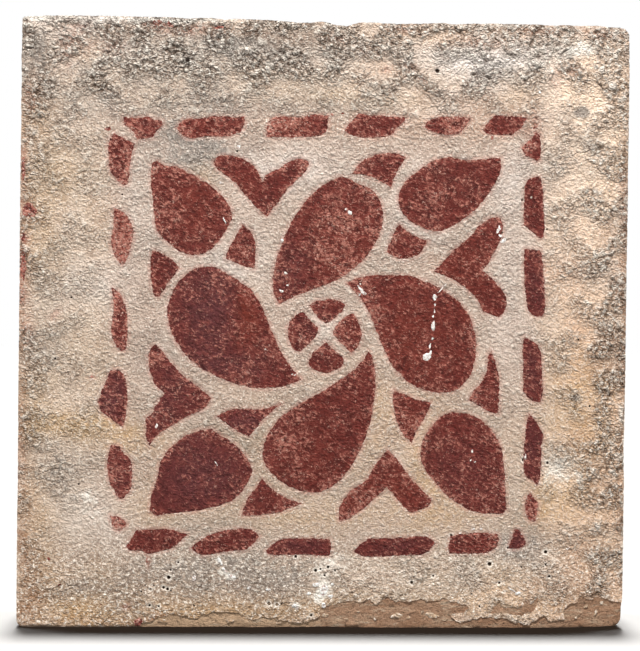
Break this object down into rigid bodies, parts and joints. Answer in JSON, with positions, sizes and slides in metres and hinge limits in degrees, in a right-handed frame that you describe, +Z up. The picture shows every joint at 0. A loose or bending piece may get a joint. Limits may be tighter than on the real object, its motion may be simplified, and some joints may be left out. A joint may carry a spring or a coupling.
{
  "type": "ceramic tile",
  "caption": "Square hand-made clay tile standing on its lower edge, pale ground coat on the face with a red stencilled whirl, leaves and dashed border.",
  "frame": {"origin": "middle of the width and of the thickness, at the lower edge that the tile stands on", "axes": "+Z up the tile's height, +X to the right as the decorated face is seen, -Y the way the decorated face looks"},
  "size_m": [0.2, 0.024, 0.2],
  "materials": {
    "fired_clay": "bare fired clay, gritty and dry",
    "ground_slip": "pale cream-grey slip ground, mottled, matt and slightly rough",
    "red_slip": "iron-red slip, brushed through a stencil, matt and mottled"
  },
  "bodies": {
    "root": {"clay_body": "fired_clay", "ground_coat": "ground_slip", "centre_quarter_top": "red_slip", "centre_quarter_right": "red_slip", "centre_quarter_bottom": "red_slip", "centre_quarter_left": "red_slip", "petal_top": "red_slip", "petal_right": "red_slip", "petal_bottom": "red_slip", "petal_left": "red_slip", "corner_leaf_top_left": "red_slip", "corner_leaf_top_right": "red_slip", "corner_leaf_bottom_right": "red_slip", "corner_leaf_bottom_left": "red_slip", "forked_bud_top": "red_slip", "forked_bud_right": "red_slip", "forked_bud_bottom": "red_slip", "forked_bud_left": "red_slip", "outer_wedge_top": "red_slip", "outer_wedge_right": "red_slip", "outer_wedge_bottom": "red_slip", "outer_wedge_left": "red_slip", "inner_wedge_top": "red_slip", "inner_wedge_right": "red_slip", "inner_wedge_bottom": "red_slip", "inner_wedge_left": "red_slip", "border_top_1": "red_slip", "border_top_2": "red_slip", "border_top_3": "red_slip", "border_top_4": "red_slip", "border_top_5": "red_slip", "border_top_6": "red_slip", "border_right_1": "red_slip", "border_right_2": "red_slip", "border_right_3": "red_slip", "border_right_4": "red_slip", "border_right_5": "red_slip", "border_right_6": "red_slip", "border_bottom_1": "red_slip", "border_bottom_2": "red_slip", "border_bottom_3": "red_slip", "border_bottom_4": "red_slip", "border_bottom_5": "red_slip", "border_bottom_6": "red_slip", "border_left_1": "red_slip", "border_left_2": "red_slip", "border_left_3": "red_slip", "border_left_4": "red_slip", "border_left_5": "red_slip", "border_left_6": "red_slip"}
  },
  "joints": []
}
